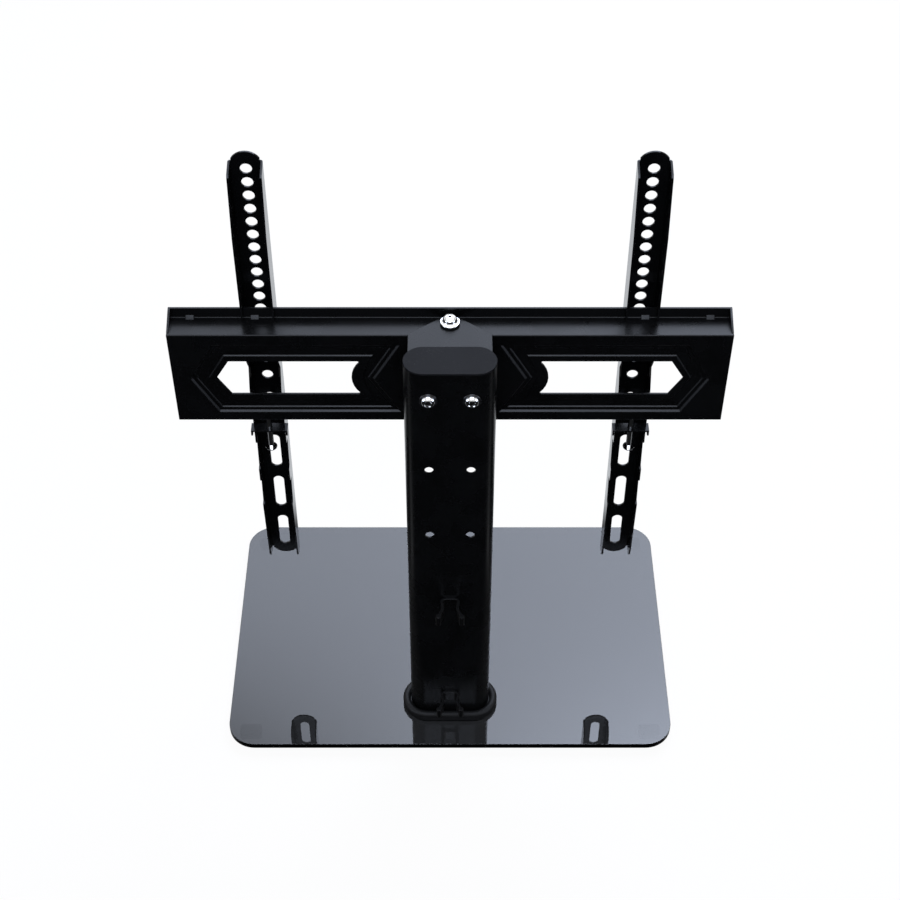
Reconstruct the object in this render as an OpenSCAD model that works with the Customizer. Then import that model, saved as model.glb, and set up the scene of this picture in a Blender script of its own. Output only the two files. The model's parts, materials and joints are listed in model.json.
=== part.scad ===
/* [Glass base] */
// Width of the glass plate
base_w = 410; // [360:1:480]
// Depth of the glass plate, front to back
base_d = 268; // [250:1:320]
// Radius of the plate's four corners
base_r = 25; // [12:1:40]
// Thickness of the glass
glass_t = 6; // [5:0.5:10]
// Length of each rubber foot
foot_len = 20; // [12:1:30]
// Width of each rubber foot
foot_wid = 14; // [10:1:24]
// Height of each rubber foot
foot_h = 5; // [4.6:0.1:9]
// Distance from a foot's middle to the side edge of the glass
foot_in_x = 20; // [17:1:40]
// Distance from a foot's middle to the front or rear edge of the glass
foot_in_y = 18; // [15:1:40]

/* [Column] */
// Width of the column's flattened tube
col_w = 72; // [66:0.5:78]
// Depth of the column's flattened tube
col_d = 31; // [28:0.5:33]
// Wall of the column
col_t = 1.6; // [1.2:0.1:2.5]
// Height of the column's top above the glass, cap included
col_h = 432; // [350:1:500]
// Distance from the glass's rear edge to the column's middle
col_in = 49.3; // [42:0.1:51]
// Width of the open slot down the column's front
slot_w = 52; // [51:0.5:53]
// Thickness of the lid of the column's cap
cap_t = 1.6; // [1.2:0.1:3]
// Depth of the two plugs under the cap
cap_plug = 9; // [5:0.5:15]

/* [Column foot] */
// Length of the foot's flange, left to right
flange_w = 81; // [79:0.5:83]
// Thickness of the foot's flange
flange_t = 3; // [2.5:0.1:4]
// Height of the block inside the column
boss_h = 9; // [7:0.5:14]
// Thickness of each gasket that touches the glass
gasket_t = 0.5; // [0.4:0.05:0.8]
// Thickness of the steel plate under the glass
under_t = 1.6; // [1.2:0.1:1.8]
// Half the spacing of the base bolts, left to right
bolt_x = 22; // [18:0.5:25]
// Half the spacing of the base bolts, front to back
bolt_y = 7; // [6:0.25:8]
// Radius of the base bolts
bolt_r = 3; // [2.5:0.1:3.5]
// Radius of the base bolts' flat heads
bolt_head_r = 5.5; // [5:0.1:5.9]
// Height of the base bolts' flat heads
bolt_head_h = 1.9; // [1.5:0.1:2.2]
// Length of the base bolts below the head
bolt_len = 18; // [15:0.5:20]
// Outer width of the collar round the column's foot
collar_w = 87.4; // [86:0.2:92]
// Height of the collar
collar_h = 9; // [8:0.5:12]

/* [Height rows] */
// Distance from the column's top down to the top row of holes
row_in = 27; // [24:0.5:32]
// Spacing of the rows of holes
row_pitch = 77; // [74:0.5:90]
// Number of rows of holes
rows = 3; // [1:1:4]
// Half the spacing of the two holes in a row
row_x = 16.7; // [14:0.1:17]
// Radius of the height screws
row_screw_r = 3; // [2.5:0.1:3.2]
// Radius of the height screws' heads
row_head_r = 5.5; // [5:0.1:6]
// Radius of the washers under the height screws
row_washer_r = 7.1; // [6.5:0.1:8]
// Thickness of the washers under the height screws
row_washer_t = 1.6; // [1:0.1:2]
// Length of the height screws below the head
row_screw_len = 12; // [10:0.5:14]
// Thickness of the nut bar inside the head bracket
nut_bar_t = 4; // [3:0.5:6]

/* [Head bracket] */
// Sheet of the head bracket
head_t = 2; // [1.5:0.1:2.5]
// Half width of the part of the bracket that enters the column
head_in = 24.5; // [24:0.1:25]
// Half width of the bracket's two plates in front of the column
head_half = 32.6; // [30:0.1:34]
// Half width of the plates' blunt tips
tip_half = 8.2; // [7:0.1:8.6]
// Distance from the pivot forward to the plates' tips
tip_out = 6.1; // [5.5:0.1:6.2]
// Distance from the pivot back to the plates' wide corners
corner_back = 11.9; // [9:0.1:16]
// Reach of the bracket's side webs in front of the column
web_reach = 3.4; // [1:0.1:4]

/* [Pivot] */
// Distance from the column's middle forward to the pivot
pivot_out = 46.2; // [45.2:0.1:46.4]
// Radius of the pivot bolts
pivot_r = 4; // [3.5:0.1:4.5]
// Radius of the pivot bolts' domed heads
dome_r = 8.2; // [7.5:0.1:9]
// Thickness of the spring washers
spring_t = 1.6; // [1.2:0.1:2.2]
// Outer radius of the spring washers
spring_r = 6.3; // [6:0.1:7]
// Thickness of the slip washers between bracket and crossbar
slip_t = 0.8; // [0.6:0.1:1.2]
// Outer radius of the slip washers
slip_r = 8; // [7:0.1:8.5]
// Height of the pivot nuts
nut_h = 6.5; // [5:0.5:9]
// Width of the pivot nuts across their flats
nut_af = 13; // [12:0.5:14]

/* [Crossbar] */
// Length of the crossbar
bar_w = 440; // [400:1:500]
// Height of the crossbar over its two flanges
bar_h = 91.6; // [88:0.2:96]
// Sheet of the crossbar
bar_t = 1.8; // [1.5:0.1:2]
// Distance from the column's top down to the top flange's upper face
bar_drop = 6.3; // [6:0.1:8]
// Distance from the pivot back to the crossbar's rear face
bar_back = 10.8; // [10.6:0.1:12]
// Depth of the crossbar from rear face to lip
bar_d = 23.2; // [23:0.1:24]
// Height of the lips above and below the flanges
lip_h = 9.2; // [8:0.1:11]
// Leg of the small gussets pressed in the bend of the lips
gusset = 2.6; // [2:0.1:3]
// Width of the gussets
gusset_w = 6.4; // [4:0.2:9]
// Distance from the middle to the inner gussets
gusset_in = 152.7; // [140:0.1:160]
// Distance from the crossbar's ends to the outer gussets
gusset_end = 16.4; // [12:0.1:25]

/* [Pressing in the crossbar] */
// Distance from the crossbar's end to the pressing's pointed end
press_end = 14; // [10:0.2:20]
// Distance from the pressing's pointed end to its outer corners
press_point = 19.8; // [16:0.2:23]
// Distance from the middle to the pressing's inner corners
press_in = 39; // [37:0.2:44]
// Distance from the middle to the point of the inner notch
press_notch = 59.6; // [57:0.2:61]
// Height of the pressing
press_h = 72.4; // [69:0.2:74]
// How far the pressing's middle lies below the crossbar's middle
press_drop = 0.5; // [0:0.1:1.5]
// Depth of the pressing's first step
step_a = 1.6; // [1:0.1:1.8]
// Depth of the pressing's second step
step_b = 1; // [0.8:0.1:1.4]
// Distance from the outline to the second step
step_in = 4.1; // [3:0.1:4.6]
// Height of the border that stands round the window
border_rise = 1; // [0.6:0.1:1.6]
// Distance from the crossbar's end to the window's pointed end
win_end = 34.8; // [33:0.1:38]
// Distance from the window's pointed end to its outer corners
win_point = 10.6; // [9:0.1:14]
// Distance from the middle to the window's inner corners
win_in = 71.6; // [71:0.1:85]
// Height of the window
win_h = 35.1; // [30:0.1:36]
// How far the rounded tongue reaches into the window's inner end
win_bump = 6.6; // [4:0.1:8]

/* [TV arms] */
// Distance from the middle to each arm's middle
arm_x = 150; // [110:1:190]
// Width of an arm
arm_w = 26; // [24:0.5:28]
// Sheet of the arms
arm_t = 1.5; // [1.2:0.1:2]
// Distance from the crossbar's lip forward to the inside of an arm's web
web_gap = 15.4; // [14:0.1:18]
// Height of an arm above the crossbar
arm_up = 144.1; // [120:0.1:160]
// Length of an arm below the crossbar's top
arm_down = 297.5; // [290:0.1:320]
// How far the round ends of an arm's web stand out past its flanges
arch = 8; // [5:0.5:9]
// Depth of the arm's flanges at the top end
depth_top = 14; // [10:0.1:16]
// Depth of the arm's flanges along the lands
depth_land = 20.6; // [20:0.1:22]
// Depth of the arm's flanges in the notches
depth_notch = 13; // [10:0.1:14]
// Thickness of the hook behind the crossbar's lip
hook_t = 4.4; // [4.2:0.1:5]
// Radius of the screw holes and slots in the arms
hole_r = 4.5; // [3.5:0.1:4.6]
// Spacing of the round holes
hole_pitch = 12.2; // [11.8:0.1:13]
// Number of round holes at the top of an arm
hole_count = 12; // [6:1:12]
// Distance from the arm's top to the first hole
hole_first = 15; // [12:0.5:18]
// Length of each slot
slot_len = 37.9; // [30:0.1:40]
// Spacing of the slots
slot_pitch = 50.8; // [48:0.1:51]
// Distance from the arm's bottom to the middle of the lowest slot
slot_low = 30.1; // [28:0.1:34]

/* [Lock plates and screws] */
// Depth of the lock plates
lock_d = 9.4; // [8:0.1:10]
// Length of the lock plates, left to right
lock_w = 30.4; // [30:0.1:34]
// Thickness of the lock plates
lock_t = 1.5; // [1.2:0.1:1.8]
// Height of the turned-down ears of the lock plates
ear_h = 4; // [3:0.5:8]
// Distance from the crossbar's bottom down to the lock plates
lock_drop = 26.2; // [24:0.1:30]
// Radius of the lock screws
lock_r = 2.4; // [2:0.1:2.45]
// Radius of the lock screws' heads
lock_head_r = 4.9; // [4:0.1:5.5]
// Length of the lock screws below the head
lock_len = 47.5; // [44:0.5:62]

/* [Cable clips] */
// Height of the lower clip's top above the glass
clip_low = 36.8; // [34:0.5:60]
// Height of the upper clip's top above the glass
clip_high = 170.4; // [150:0.5:200]
// Height of a clip's band
clip_h = 11; // [8:0.5:14]
// How far a clip stands out from the column
clip_out = 23; // [20:0.5:26]
// Outer width of a clip's loop
clip_w = 17; // [15:0.1:19]
// Thickness of a clip's band
clip_t = 2.2; // [1.6:0.1:2.6]
// How far a clip's legs lean in at the neck
clip_neck = 1.1; // [0.5:0.1:2]
// How far a clip's legs flare out at the mouth
clip_flare = 2.6; // [2:0.1:4]
// Radius of the beads at the clip's mouth
clip_bead = 2.25; // [1.8:0.05:2.5]

/* [Hidden] */
$fn = 64;
seat = 0.3; // clearance of a piece beside its seat
fit = 0.1; // clearance of a bolt in a threaded hole
slip = 0.4; // clearance beside what slides along the crossbar
eps = 0.05;
col_back = base_d / 2 - col_in; // the column's middle behind the base's middle
pivot_back = col_back - pivot_out;
press_tip = bar_w / 2 - press_end;
press_out = press_tip - press_point;
win_tip = bar_w / 2 - win_end;
win_out = win_tip - win_point;
gusset_out = bar_w / 2 - gusset_end;
glass_z = foot_h + glass_t; // upper face of the glass
flange_z = glass_z + gasket_t; // underside of the column foot
tube_z = flange_z + flange_t; // underside of the column
top_z = glass_z + col_h; // upper face of the cap
tube_top = top_z - cap_t;
flange_edge = (flange_w - col_w) / 2; // how far the foot's flange stands out
flange_d = col_d + 2 * flange_edge;
collar_edge = (collar_w - col_w) / 2;
collar_gap = 0.8; // gap between column and collar
row_z = top_z - row_in;
row_hole_r = row_screw_r + 0.6;
rear_y = -col_back - col_d / 2; // rear face of the column
inner_rear_y = rear_y + col_t;
col_front_y = -col_back + col_d / 2;
bar_z = top_z - bar_drop; // upper face of the crossbar's top flange
bar_bottom = bar_z - bar_h;
bar_mid = bar_z - bar_h / 2;
bar_rear_y = -pivot_back - bar_back;
bar_front_y = bar_rear_y + bar_d;
lip_rear_y = bar_front_y - bar_t;
plate_low = bar_z + slip_t; // underside of the bracket's top plate
plate_top = plate_low + head_t;
head_cut = 2; // bevel of the bracket's rear corners
bend_in = 0.8; // inner radius of the sheet bends
bar_edge_r = 1; // outer radius of the crossbar's tightly pressed rear edges
press_depth = step_a + step_b;
border_w = 6.5; // width of the border round the window
web_y = bar_front_y + web_gap; // inner face of an arm's web
face_y = web_y + arm_t; // face of an arm that the screen sits on
arm_top = bar_z + arm_up;
arm_low = bar_z - arm_down;
hook_depth = web_gap + bar_t + slip + hook_t;
channel_depth = web_gap - slip; // depth of an arm's flange in front of the lips
lock_z = bar_bottom - lock_drop; // middle of a lock plate
lock_y = lip_rear_y - bend_in - seat - lock_r; // axis of a lock screw, clear of the lip's bend
lock_rear_y = lock_y - lock_d / 2;
lock_front_y = lock_y + lock_d / 2;
lock_tip = bar_bottom - fit; // tip of a tightened lock screw
black = [0.07, 0.07, 0.08];
dark_grey = [0.2, 0.21, 0.22];
chrome = [0.85, 0.86, 0.88];
rubber = [0.13, 0.13, 0.13];
smoked = [0.45, 0.48, 0.52, 0.6];

// Shared shapes

// flat outline with round ends, w long and d wide
module stadium(w, d) {
    square([w - d, d], center = true);
    for (side = [-1, 1])
        translate([side * (w - d) / 2, 0])
            circle(d = d);
}

// flat rectangle with round corners
module soft_rect(w, d, r) {
    square([w - 2 * r, d], center = true);
    square([w, d - 2 * r], center = true);
    for (x = [-1, 1], y = [-1, 1])
        translate([x * (w / 2 - r), y * (d / 2 - r)])
            circle(r = r);
}

// carries a profile round a stadium whose straight part is 2 * half long
module round_stadium(half) {
    for (side = [0, 180])
        rotate([0, 0, side]) {
            translate([half, 0, 0])
                rotate([0, 0, -90])
                    rotate_extrude(angle = 180)
                        children();
            translate([-half, 0, 0])
                rotate([90, 0, 90])
                    linear_extrude(2 * half)
                        children();
        }
}

module tube(r, bore, h) {
    difference() {
        cylinder(r = r, h = h);
        translate([0, 0, -1])
            cylinder(r = bore, h = h + 2);
    }
}

// domed head on its flat side, with a cross recess
module dome_head(r, h, recess) {
    sphere_r = (r * r + h * h) / (2 * h);
    difference() {
        intersection() {
            translate([0, 0, h - sphere_r])
                sphere(r = sphere_r);
            cylinder(r = r + 1, h = h + 1);
        }
        for (turn = [0, 90])
            rotate([0, 0, turn])
                translate([0, 0, h])
                    cube([recess, recess / 4.4, h * 0.9], center = true);
    }
}

// a quarter of a square with its inner corner rounded away
module fillet(r) {
    difference() {
        square(r);
        translate([r, r])
            circle(r = r);
    }
}

// Outlines of the pressing, one side of the crossbar

function unit(v) = v / norm(v);

// moves every side of an outline inwards by d, for points that turn left
function inset(pts, d) = [
    for (i = [0:len(pts) - 1])
        let (
            a = unit(pts[i] - pts[(i + len(pts) - 1) % len(pts)]),
            b = unit(pts[(i + 1) % len(pts)] - pts[i]),
            n = [-a[1] - b[1], a[0] + b[0]]
        )
        pts[i] + n * d * 2 / (n * n)
];

press_line = [
    [press_tip, 0], [press_out, press_h / 2], [press_in, press_h / 2],
    [press_notch, 0], [press_in, -press_h / 2], [press_out, -press_h / 2]
];
bump_half = win_h / 2 - 1.2; // half height of the window's tongue
bump_r = (bump_half * bump_half + win_bump * win_bump) / (2 * win_bump);
bump_turn = asin(bump_half / bump_r);
win_line = concat(
    [[win_tip, 0], [win_out, win_h / 2], [win_in + 1.2, win_h / 2]],
    [for (i = [0:8])
        let (a = bump_turn * (1 - i / 4))
        [win_in + win_bump - bump_r + bump_r * cos(a), bump_r * sin(a)]],
    [[win_in + 1.2, -win_h / 2], [win_out, -win_h / 2]]
);
border_line = [
    [win_tip + border_w, 0], [win_out + border_w / 2, win_h / 2 + border_w],
    [win_in - 1.8 * border_w, win_h / 2 + border_w], [win_in - 0.7 * border_w, border_w],
    [win_in - border_w / 2, 0], [win_in - 0.7 * border_w, -border_w],
    [win_in - 1.8 * border_w, -win_h / 2 - border_w], [win_out + border_w / 2, -win_h / 2 - border_w]
];

// solid between two outlines of as many points, one at depth y0 and one at y1
module sloped(outer, inner, y0, y1) {
    n = len(outer);
    polyhedron(
        points = concat([for (p = outer) [p[0], y0, p[1]]], [for (p = inner) [p[0], y1, p[1]]]),
        faces = concat(
            [[for (i = [n - 1:-1:0]) i], [for (i = [0:n - 1]) n + i]],
            [for (i = [0:n - 1]) [i, (i + 1) % n, n + (i + 1) % n, n + i]]
        )
    );
}

// both steps of the pressing, from a face at depth y, reaching over it by lead
module press_steps(y, lead) {
    sloped(inset(press_line, -lead), inset(press_line, step_a), y - lead, y + step_a);
    sloped(
        inset(press_line, step_in - eps), inset(press_line, step_in + step_b),
        y + step_a - eps, y + press_depth
    );
}

// the border that rises round the window, from the pressing's floor at depth y
module border_solid(y) {
    sloped(inset(border_line, border_rise), inset(border_line, -eps), y - border_rise, y + eps);
}

// both halves of the pressing
module at_pressings() {
    for (x = [0, 1])
        mirror([x, 0, 0])
            translate([0, 0, -press_drop])
                children();
}

// Base

module glass_base() {
    color(smoked)
        difference() {
            translate([0, 0, foot_h])
                linear_extrude(glass_t)
                    soft_rect(base_w, base_d, base_r);
            at_base_bolts()
                translate([0, 0, foot_h - 1])
                    cylinder(r = bolt_r + 1, h = glass_t + 2);
        }
}

module at_base_bolts() {
    for (x = [-1, 1], y = [-1, 1])
        translate([x * bolt_x, y * bolt_y - col_back, 0])
            children();
}

module rubber_feet() {
    color(rubber)
        for (x = [-1, 1], y = [-1, 1])
            translate([x * (base_w / 2 - foot_in_x), y * (base_d / 2 - foot_in_y), 0])
                linear_extrude(foot_h)
                    soft_rect(foot_len, foot_wid, 3);
}

// flat stadium under or over the glass, drilled for the base bolts
module foot_layer(z, t, bore) {
    difference() {
        translate([0, -col_back, z])
            linear_extrude(t)
                stadium(flange_w, flange_d);
        at_base_bolts()
            translate([0, 0, z - 1])
                cylinder(r = bore, h = t + 2);
    }
}

module under_plate() {
    color(black)
        foot_layer(foot_h - gasket_t - under_t, under_t, bolt_r + seat);
}

module under_gasket() {
    color(rubber)
        foot_layer(foot_h - gasket_t, gasket_t, bolt_r + seat);
}

module foot_gasket() {
    color(rubber)
        foot_layer(glass_z, gasket_t, bolt_r + seat);
}

module base_bolts() {
    head_z = foot_h - gasket_t - under_t;
    color(chrome)
        at_base_bolts()
            translate([0, 0, head_z]) {
                cylinder(r = bolt_r, h = bolt_len);
                difference() {
                    translate([0, 0, -bolt_head_h])
                        cylinder(r = bolt_head_r, h = bolt_head_h);
                    translate([0, 0, -bolt_head_h - 1])
                        cylinder(r = bolt_r * 0.7, h = bolt_head_h / 2 + 1, $fn = 6);
                }
            }
}

module column_foot() {
    color(black)
        difference() {
            union() {
                translate([0, -col_back, flange_z])
                    linear_extrude(flange_t)
                        stadium(flange_w, flange_d);
                translate([0, -col_back, flange_z])
                    linear_extrude(flange_t + boss_h)
                        stadium(col_w - 2 * col_t - 2 * seat, col_d - 2 * col_t - 2 * seat);
            }
            at_base_bolts()
                translate([0, 0, flange_z - 1])
                    cylinder(r = bolt_r + fit, h = flange_t + boss_h + 2);
        }
}

module foot_collar() {
    half = (col_w - col_d) / 2;
    inner = col_d / 2 + collar_gap;
    outer = col_d / 2 + collar_edge;
    room = flange_d / 2 + seat;
    step = gasket_t + flange_t + seat; // height of the room for the foot's flange
    round = (outer - inner) / 2;
    color(dark_grey)
        translate([0, -col_back, glass_z])
            round_stadium(half)
                difference() {
                    union() {
                        translate([inner, step])
                            square([outer - inner, collar_h - step - round]);
                        translate([room, 0])
                            square([outer - room, collar_h - round]);
                        translate([outer - round, collar_h - round])
                            circle(r = round);
                    }
                    translate([inner - 2 * round, 0])
                        square([2 * round, collar_h + 1]);
                    square([room, step]);
                }
}

// Column

module column() {
    color(black)
        difference() {
            translate([0, -col_back, tube_z])
                linear_extrude(tube_top - tube_z)
                    difference() {
                        stadium(col_w, col_d);
                        stadium(col_w - 2 * col_t, col_d - 2 * col_t);
                        translate([-slot_w / 2, 0])
                            square([slot_w, col_d]);
                    }
            for (row = [0:rows - 1], side = [-1, 1])
                translate([side * row_x, rear_y - 1, row_z - row * row_pitch])
                    rotate([-90, 0, 0])
                        cylinder(r = row_hole_r, h = col_t + 2);
            for (z = [clip_low, clip_high])
                at_clip_pins(z)
                    cylinder(r = clip_pin_r + fit, h = 20, center = true);
        }
}

module column_cap() {
    plug_in = slot_w / 2 + seat; // the plugs start where the slot ends
    color(dark_grey)
        translate([0, -col_back, 0]) {
            translate([0, 0, tube_top])
                linear_extrude(cap_t)
                    stadium(col_w, col_d);
            translate([0, 0, tube_top - cap_plug])
                linear_extrude(cap_plug + eps)
                    difference() {
                        stadium(col_w - 2 * col_t - 2 * seat, col_d - 2 * col_t - 2 * seat);
                        square([2 * plug_in, col_d], center = true);
                    }
        }
}

// Cable clips

clip_pin_r = 1.2;
clip_pin_x = 1.7; // half the spacing of a clip's two pins

module at_clip_pins(z) {
    for (side = [-1, 1])
        translate([side * clip_pin_x, rear_y, glass_z + z - clip_h / 2])
            rotate([90, 0, 0])
                children();
}

// middle line of one leg from the root's centre to the bead: a flat root,
// a round shoulder, then a leg that sways in to the neck and out to the mouth
clip_root = clip_w / 2 - clip_t / 2; // half width of the loop on its middle line
clip_turn = 4; // radius of the shoulders
clip_leg = clip_out - clip_t / 2 - clip_turn - clip_bead; // length of the leg past the shoulder
clip_line = concat(
    [[0, 0]],
    [for (i = [0:6])
        let (a = 90 * i / 6)
        [clip_root - clip_turn + clip_turn * sin(a), clip_turn * (1 - cos(a))]],
    [for (i = [1:8])
        let (s = i / 8)
        [clip_root - clip_neck * sin(180 * min(1, s * 1.25)) + clip_flare * pow(max(0, s - 0.45) / 0.55, 1.6),
         clip_turn + clip_leg * s]]
);

function side_of(line, d) = [
    for (i = [0:len(line) - 1])
        let (v = unit(line[min(i + 1, len(line) - 1)] - line[max(i - 1, 0)]))
        line[i] + d * [v[1], -v[0]]
];

module cable_clip(top) {
    edge = clip_t / 2;
    last = clip_line[len(clip_line) - 1];
    back = [for (i = [len(clip_line) - 1:-1:0]) side_of(clip_line, -edge)[i]];
    translate([0, rear_y, glass_z + top - clip_h]) {
        linear_extrude(clip_h)
            for (side = [-1, 1])
                scale_x(side)
                    translate([0, -edge]) {
                        polygon([for (p = concat(side_of(clip_line, edge), back)) [p[0], -p[1]]]);
                        translate([last[0], -last[1]])
                            circle(r = clip_bead);
                    }
    }
    at_clip_pins(top)
        translate([0, 0, -col_t - 1])
            cylinder(r = clip_pin_r, h = col_t + 1 + edge);
}

module scale_x(side) {
    mirror([side < 0 ? 1 : 0, 0])
        children();
}

module upper_cable_clip() {
    color(dark_grey)
        cable_clip(clip_high);
}

module lower_cable_clip() {
    color(dark_grey)
        cable_clip(clip_low);
}

// Head bracket

module at_row_holes(y) {
    for (side = [-1, 1])
        translate([side * row_x, y, row_z])
            rotate([90, 0, 0])
                children();
}

// outline of the bracket's plates: a tongue into the column, two wide wings and a blunt tip
module head_outline() {
    tongue = inner_rear_y + seat;
    difference() {
        polygon([
            [-head_in, tongue + head_cut], [-head_in + head_cut, tongue], [head_in - head_cut, tongue],
            [head_in, tongue + head_cut], [head_in, -col_back], [head_half, -col_back],
            [head_half, -pivot_back - corner_back], [tip_half, -pivot_back + tip_out],
            [-tip_half, -pivot_back + tip_out], [-head_half, -pivot_back - corner_back],
            [-head_half, -col_back], [-head_in, -col_back]
        ]);
        for (side = [-1, 1])
            translate([side * (head_in + col_w / 2), -col_back])
                square([col_w, 4], center = true);
        difference() {
            translate([0, -col_back])
                stadium(col_w + 2 * seat, col_d + 2 * seat);
            square([2 * head_in, 4 * col_back], center = true);
        }
    }
}

// spine and webs from above: a channel whose rear corners clear the column's round inside
module head_channel(spine_y, web_front) {
    inner = head_in - head_t;
    polygon([
        [-head_in, web_front], [-head_in, spine_y + head_cut], [-head_in + head_cut, spine_y],
        [head_in - head_cut, spine_y], [head_in, spine_y + head_cut], [head_in, web_front],
        [inner, web_front], [inner, spine_y + head_t], [-inner, spine_y + head_t], [-inner, web_front]
    ]);
}

module head_bracket() {
    low_plate = bar_bottom - slip_t - head_t;
    spine_y = inner_rear_y + seat;
    web_front = col_front_y + web_reach;
    web_d = web_front - spine_y;
    room = plate_top - low_plate;
    color(black)
        difference() {
            union() {
                translate([0, 0, plate_low])
                    linear_extrude(head_t)
                        head_outline();
                translate([0, 0, low_plate])
                    linear_extrude(head_t)
                        head_outline();
                translate([0, 0, low_plate])
                    linear_extrude(room)
                        head_channel(spine_y, web_front);
            }
            translate([0, -pivot_back, low_plate - 1])
                cylinder(r = pivot_r + fit, h = room + 2);
            at_row_holes(spine_y + head_t + 1)
                cylinder(r = row_screw_r + seat, h = head_t + 2);
            translate([-col_w, spine_y + head_t + web_d / 2, (low_plate + plate_top) / 2])
                rotate([90, 0, 90])
                    linear_extrude(2 * col_w)
                        rotate(90)
                            stadium(room - 4 * head_t - 12, web_d - head_t - 14);
        }
}

module nut_bar() {
    back_y = inner_rear_y + seat + head_t;
    half = head_in - head_t - seat;
    color(chrome)
        difference() {
            translate([-half, back_y, row_z - 7])
                cube([2 * half, nut_bar_t, 14]);
            at_row_holes(back_y + nut_bar_t + 1)
                cylinder(r = row_screw_r + fit, h = nut_bar_t + 2);
        }
}

module height_washers() {
    color(black)
        at_row_holes(rear_y)
            tube(row_washer_r, row_screw_r + seat, row_washer_t);
}

module height_screws() {
    head_h = 0.62 * row_head_r;
    color(chrome)
        at_row_holes(rear_y) {
            translate([0, 0, row_washer_t])
                dome_head(row_head_r, head_h, row_head_r * 1.1);
            translate([0, 0, row_washer_t - row_screw_len])
                cylinder(r = row_screw_r, h = row_screw_len + eps);
        }
}

// Pivot, drawn above the crossbar's top flange at height 0 and used twice

module pivot_place(top) {
    translate([0, -pivot_back, top ? bar_z : bar_bottom])
        mirror([0, 0, top ? 0 : 1])
            children();
}

module pivot_bolt() {
    under_head = slip_t + head_t + spring_t;
    color(chrome) {
        translate([0, 0, under_head])
            dome_head(dome_r, dome_r * 0.88, dome_r);
        translate([0, 0, -bar_t - nut_h - 1])
            cylinder(r = pivot_r, h = under_head + bar_t + nut_h + 1 + eps);
    }
}

module spring_washer() {
    color(chrome)
        translate([0, 0, slip_t + head_t])
            difference() {
                tube(spring_r, pivot_r + fit, spring_t);
                rotate([0, 0, 20])
                    translate([0, -0.4, -1])
                        cube([spring_r + 1, 0.8, spring_t + 2]);
            }
}

module pivot_nut() {
    color(chrome)
        translate([0, 0, -bar_t - nut_h])
            difference() {
                cylinder(r = nut_af / sqrt(3), h = nut_h, $fn = 6);
                translate([0, 0, -1])
                    cylinder(r = pivot_r + fit, h = nut_h + 2);
            }
}

module top_pivot_bolt() {
    pivot_place(true)
        pivot_bolt();
}

module top_spring_washer() {
    pivot_place(true)
        spring_washer();
}

module top_pivot_nut() {
    pivot_place(true)
        pivot_nut();
}

module bottom_pivot_bolt() {
    pivot_place(false)
        pivot_bolt();
}

module bottom_spring_washer() {
    pivot_place(false)
        spring_washer();
}

module bottom_pivot_nut() {
    pivot_place(false)
        pivot_nut();
}

module slip_washers() {
    color("white")
        for (top = [true, false])
            pivot_place(top)
                tube(slip_r, pivot_r + fit, slip_t);
}

// Crossbar

// section of the rolled sheet, y forward from the rear face and z up from the middle
module bar_section() {
    difference() {
        union() {
            translate([bar_d / 2, 0])
                soft_rect(bar_d, bar_h, bar_edge_r);
            translate([bar_d / 2, -bar_h / 2])
                square([bar_d / 2, bar_h]);
            translate([bar_d - bar_t, -bar_h / 2 - lip_h])
                square([bar_t, bar_h + 2 * lip_h]);
        }
        translate([bar_t + bar_d / 2, 0])
            soft_rect(bar_d, bar_h - 2 * bar_t, bend_in);
        translate([bar_d - bar_t - eps, -bar_h / 2 + bar_t])
            square([bar_t + 1, bar_h - 2 * bar_t]);
    }
    for (side = [-1, 1])
        scale_z(side)
            translate([bar_d - bar_t, bar_h / 2])
                mirror([1, 0])
                    fillet(bend_in);
}

module scale_z(side) {
    mirror([0, side < 0 ? 1 : 0])
        children();
}

// small 45 degree gusset in the upper bend; the lower one has none, because the lock screws slide along it
module lip_gusset() {
    translate([-gusset_w / 2, bar_d - bar_t, bar_h / 2])
        rotate([90, 0, 90])
            linear_extrude(gusset_w)
                polygon([[eps, -eps], [eps, gusset], [-gusset, -eps]]);
}

// lip across one end of a flange, low at the rear and as high as the front lip
module end_lip() {
    rear = bar_t + bend_in;
    translate([bar_w / 2 - bar_t, 0, bar_h / 2])
        rotate([90, 0, 90])
            linear_extrude(bar_t)
                polygon([
                    [rear, -bar_t], [bar_d, -bar_t], [bar_d, lip_h], [bar_d - bar_t, lip_h], [rear, 0.6]
                ]);
}

module crossbar() {
    color(black)
        translate([0, bar_rear_y, bar_mid])
            difference() {
                union() {
                    difference() {
                        union() {
                            rotate([90, 0, 90])
                                linear_extrude(bar_w, center = true)
                                    bar_section();
                            at_pressings()
                                press_steps(bar_t, eps);
                        }
                        at_pressings()
                            difference() {
                                press_steps(0, 0.5);
                                border_solid(press_depth);
                            }
                        at_pressings()
                            border_solid(press_depth + bar_t);
                    }
                    for (x = [0, 1])
                        mirror([x, 0, 0]) {
                            end_lip();
                            mirror([0, 0, 1])
                                end_lip();
                            for (at = [gusset_in, gusset_out])
                                translate([at, 0, 0])
                                    lip_gusset();
                        }
                }
                at_pressings()
                    rotate([90, 0, 0])
                        linear_extrude(2 * bar_d, center = true)
                            polygon(win_line);
                translate([0, bar_back, 0])
                    cylinder(r = pivot_r + fit, h = bar_h + 2, center = true);
            }
}

// TV arms, drawn on the right and mirrored to the left

notch_rise = 3; // how much a notch's floor climbs towards its lower end
notch_slant = 2; // height of a notch's upper corner
first_notch = [18, 50]; // from the lock plate down to a notch's upper and lower end
second_notch = [64, 94];
// upper clearance for the crossbar's face, land, middle notch, land, lower clearance: from the crossbar's middle up
mid_marks = [13.5, 7.5, 1.2, -10.8, -18.3, -29.3, -32, -37.8];
low_taper = [[4.5, 18.4], [6, 12.4], [9.5, 8.9]]; // the flange's lower end: less deep than the land, height above the arm's end

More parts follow.
